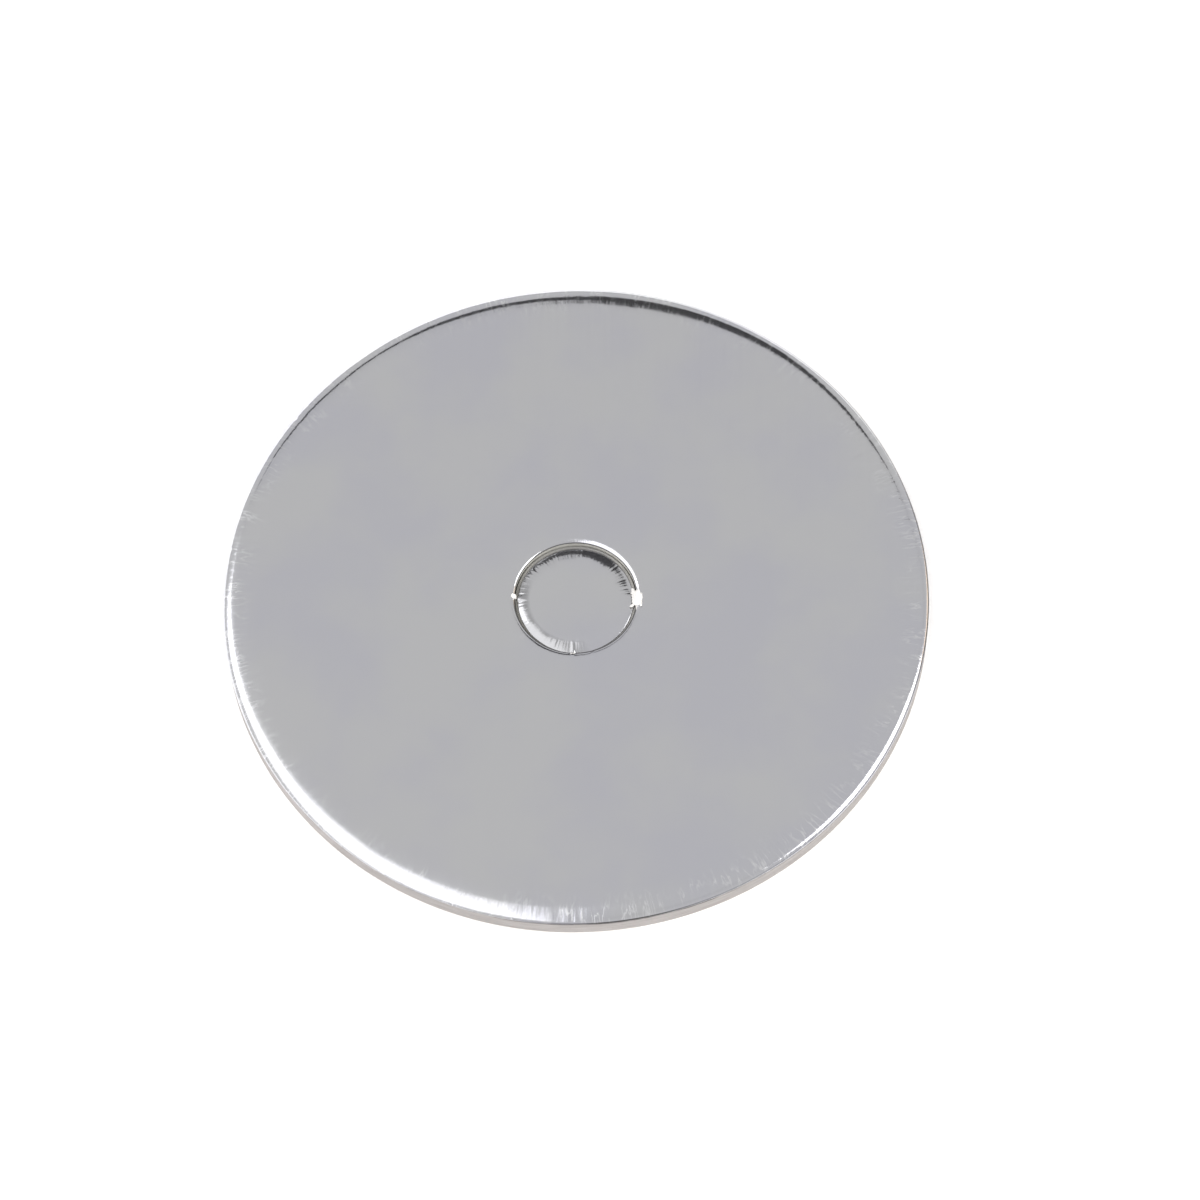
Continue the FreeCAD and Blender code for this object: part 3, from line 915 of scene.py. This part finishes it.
class DISPLAYBOARD_OT_torn_nicks(bpy.types.Operator):
    """Make the torn scraps at the nicks, on the board's side and on the plug's"""
    bl_idname = "display_board.torn_nicks"
    bl_label = "Torn Nicks"

    def execute(self, context):
        sizes = context.scene.board_sizes
        face, plug_face = high("board_face_film"), high("plug_face_film")
        for index, (side, (degrees, width, lap)) in enumerate(NICKS.items()):
            angle = math.radians(degrees)
            lip = face - board_fall(sizes, sizes.opening_radius, angle)
            edge = plug_face - plug_fall(sizes, sizes.plug_radius, angle)
            # The board's scrap leaves the lip and hangs down into the cut.
            root = sizes.opening_radius + 0.3 * MM
            root_height = face - board_fall(sizes, root, angle)
            torn_scrap(f"nick_{side}_board_scrap", "board", degrees, width, (
                (root, root_height + ROOT_LIFT),
                (sizes.opening_radius - 0.02 * MM, lip + 0.06 * MM),
                (sizes.opening_radius - 0.05 * MM, lip - 0.35 * MM),
            ), BOARD_CRINKLE, 3.0 + index)
            # The plug's scrap rises from its shoulder and reaches the lip, or laps out over it.
            root = sizes.plug_radius - 0.3 * width
            root_height = plug_face - plug_fall(sizes, root, angle)
            tip = sizes.opening_radius + lap
            tip_height, crest = lip, 0.35 * edge + 0.65 * face + 0.08 * MM
            if lap > LONG_LAP:
                tip_height = face - board_fall(sizes, tip, angle) + 0.03 * MM
                crest = face + 0.2 * MM
            torn_scrap(f"nick_{side}_plug_scrap", "plug", degrees, 0.9 * width, (
                (root, root_height + ROOT_LIFT),
                (sizes.plug_radius - 0.05 * MM, crest),
                (tip, tip_height),
            ), PLUG_CRINKLE, 7.0 + index)
        return {"FINISHED"}


# ---------------- studio

COOL, WARM, WHITE = "#FCFCFF", "#FFDDB0", "#FFFFFF"
PANEL_DISTANCE = 1.25
# The softboxes: lean to the right and to the back, then the two half-angles, all in degrees;
# the setting with its brightness; its colour; and whether the film mirrors it. One that the
# film doesn't mirror lights only the matt surfaces.
SOFTBOXES = {
    "key_softbox": ((-34, -21), (29, 38.5), "key_glow", COOL, True),
    "key_wash": ((-34, -21), (29, 38.5), "key_wash", COOL, False),
    "left_bank": ((-42, 23.2), (19, 5.7), "bank_glow", COOL, True),
    "right_strip": ((52.5, -8), (13.5, 19), "strip_glow", WHITE, True),
    "right_wash": ((50, -15), (16, 19), "right_wash", WHITE, False),
    "warm_strip": ((62, 62), (8, 12), "warm_glow", WARM, True),
}
# The black flags: lean and half-angles as above, then the distance.
FLAGS = {
    "wide_flag": ((7, 47), (9, 11.5), 1.2),
    "middle_flag": ((-7, 48), (6, 5.5), 1.21),
    "side_flag": ((-17, 46), (11, 3), 1.2),
}
# The dome: height of the direction, from 0 at the horizon to 1 overhead, and its grey there.
DOME_GREYS = (
    (0.0, "#C5C5C6"), (0.30, "#CECECF"), (0.60, "#CBCBCC"),
    (0.80, "#C5C5C6"), (0.90, "#CBCBCC"), (1.0, "#CBCBCC"),
)
BACKGROUND_GREY = "#F7F7F7"
FLOOR_RADIUS = 3.0
FLOOR_GAP = 0.02 * MM
SENSOR_WIDTH_MM = 36.0
CAMERA_SHIFT = 0.0203


def look_from(target, azimuth, elevation, distance):
    """A place at a distance from the target, in a direction given by two angles."""
    flat = math.cos(elevation)
    away = Vector((math.sin(azimuth) * flat, -math.cos(azimuth) * flat, math.sin(elevation)))
    return target + away * distance


def hung_over(lean_right, lean_back, distance):
    """The placing of a panel that hangs over the board and faces it.

    It is swung from straight overhead to the back, then to the right, by angles in degrees.
    """
    swing = (Matrix.Rotation(math.radians(-lean_back), 4, "X")
             @ Matrix.Rotation(math.radians(lean_right), 4, "Y"))
    return swing @ Matrix.Translation((0, 0, distance))


def add_softbox(name, lean, half_angles, glow, hex_colour, in_film):
    """An area light of a given half-angle each way, which the camera doesn't see."""
    width, height = (2 * PANEL_DISTANCE * math.tan(math.radians(angle)) for angle in half_angles)
    light = bpy.data.lights.new(name, "AREA")
    light.shape = "RECTANGLE"
    light.size = width
    light.size_y = height
    light.energy = glow * math.pi * width * height
    light.color = linear(hex_colour)
    box = bpy.data.objects.new(name, light)
    box.matrix_world = hung_over(*lean, PANEL_DISTANCE)
    box.visible_camera = False
    box.visible_glossy = in_film
    bpy.context.scene.collection.objects.link(box)


def add_flag(name, lean, half_angles, distance):
    """A black card that shades the far rim's reflections, which the camera doesn't see."""
    bm = bmesh.new()
    bmesh.ops.create_grid(bm, x_segments=1, y_segments=1, size=1.0)
    reach = [distance * math.tan(math.radians(angle)) for angle in half_angles]
    bmesh.ops.scale(bm, verts=bm.verts, vec=(reach[0], reach[1], 1.0))
    bmesh.ops.transform(bm, verts=bm.verts, matrix=hung_over(*lean, distance))
    card = object_from(bm, name, "black_flag_cloth")
    card.visible_camera = False
    card.visible_shadow = False
    card.visible_diffuse = False
    return card


def add_floor():
    """A plain pale floor, a hair below the board."""
    bm = bmesh.new()
    bmesh.ops.create_circle(bm, cap_ends=True, segments=96, radius=FLOOR_RADIUS)
    bmesh.ops.translate(bm, verts=bm.verts, vec=(0, 0, -FLOOR_GAP))
    return object_from(bm, "studio_floor", "seamless_studio_paper")


def studio_dome(scene, glow):
    """A pale grey dome, which the camera sees paler still."""
    world = bpy.data.worlds.new("studio_dome")
    scene.world = world
    add = emptied(world)
    way = add("ShaderNodeTexCoord").outputs["Generated"]
    rise = add("ShaderNodeSeparateXYZ", {"Vector": way}).outputs["Z"]
    ramp = add("ShaderNodeValToRGB", {"Fac": rise})
    bands = ramp.color_ramp.elements
    while len(bands) < len(DOME_GREYS):
        bands.new(0.5)
    for band, (position, grey) in zip(bands, DOME_GREYS):
        band.position = position
        band.color = opaque(linear(grey))
    lit = add("ShaderNodeBackground", {"Color": ramp, "Strength": glow})
    seen = add("ShaderNodeBackground", {"Color": opaque(linear(BACKGROUND_GREY)), "Strength": 1.0})
    ray = add("ShaderNodeLightPath").outputs["Is Camera Ray"]
    both = add("ShaderNodeMixShader", (ray, lit, seen))
    add("ShaderNodeOutputWorld", {"Surface": both})


def add_camera(scene, studio):
    """The camera, which looks at the middle of the disc at the height of its outer cut."""
    target = Vector((0, 0, high("board_face_film") - scene.board_sizes.roll_drop))
    eye = look_from(target, studio.camera_azimuth, studio.camera_elevation,
                    studio.camera_distance)
    lens = bpy.data.cameras.new("camera")
    lens.sensor_width = SENSOR_WIDTH_MM
    lens.lens = studio.focal_length
    lens.shift_x = CAMERA_SHIFT
    lens.clip_start = 0.01
    camera = bpy.data.objects.new("camera", lens)
    upright = (eye - target).to_track_quat("Z", "Y").to_matrix().to_4x4()
    lean = Matrix.Rotation(-studio.camera_roll, 4, "Z")
    camera.matrix_world = Matrix.Translation(eye) @ upright @ lean
    scene.collection.objects.link(camera)
    scene.camera = camera


class DISPLAYBOARD_OT_stage(bpy.types.Operator):
    """Make the floor, the lights and the camera"""
    bl_idname = "display_board.stage"
    bl_label = "Studio"

    def execute(self, context):
        scene = context.scene
        studio = scene.board_studio
        floor = add_floor()
        for name, (lean, half_angles, setting, hex_colour, in_film) in SOFTBOXES.items():
            add_softbox(name, lean, half_angles, getattr(studio, setting), hex_colour, in_film)
        flags = [add_flag(name, *placing) for name, placing in FLAGS.items()]
        studio_dome(scene, studio.dome_glow)
        add_camera(scene, studio)
        scene.view_settings.view_transform = "Standard"
        scene.view_settings.look = "None"
        return {"FINISHED"}


class DISPLAYBOARD_PT_panel(bpy.types.Panel):
    """The board's pieces and sizes"""
    bl_idname = "DISPLAYBOARD_PT_panel"
    bl_label = "Coin Display Board"
    bl_space_type = "VIEW_3D"
    bl_region_type = "UI"
    bl_category = "Display Board"

    def draw(self, context):
        for operator in OPERATORS:
            self.layout.operator(operator.bl_idname)
        for group_name in GROUPS:
            group = getattr(context.scene, group_name)
            box = self.layout.box()
            for name in group.bl_rna.properties.keys():
                if name not in ("rna_type", "name"):
                    box.prop(group, name)


GROUPS = {"board_sizes": BoardSizes, "board_colours": BoardColours, "board_studio": StudioSizes}
OPERATORS = (
    DISPLAYBOARD_OT_stage,
    DISPLAYBOARD_OT_face_films,
    DISPLAYBOARD_OT_carrier_papers,
    DISPLAYBOARD_OT_upper_plies,
    DISPLAYBOARD_OT_lower_plies,
    DISPLAYBOARD_OT_back_papers,
    DISPLAYBOARD_OT_torn_nicks,
)


def register():
    for name, group in GROUPS.items():
        bpy.utils.register_class(group)
        setattr(bpy.types.Scene, name, PointerProperty(type=group))
    for operator in OPERATORS:
        bpy.utils.register_class(operator)
    bpy.utils.register_class(DISPLAYBOARD_PT_panel)


def unregister():
    bpy.utils.unregister_class(DISPLAYBOARD_PT_panel)
    for operator in reversed(OPERATORS):
        bpy.utils.unregister_class(operator)
    for name, group in GROUPS.items():
        delattr(bpy.types.Scene, name)
        bpy.utils.unregister_class(group)


def main():
    register()
    bpy.ops.display_board.stage()
    bpy.ops.display_board.face_films()
    bpy.ops.display_board.carrier_papers()
    bpy.ops.display_board.upper_plies()
    bpy.ops.display_board.lower_plies()
    bpy.ops.display_board.back_papers()
    bpy.ops.display_board.torn_nicks()


if __name__ == "__main__":
    main()
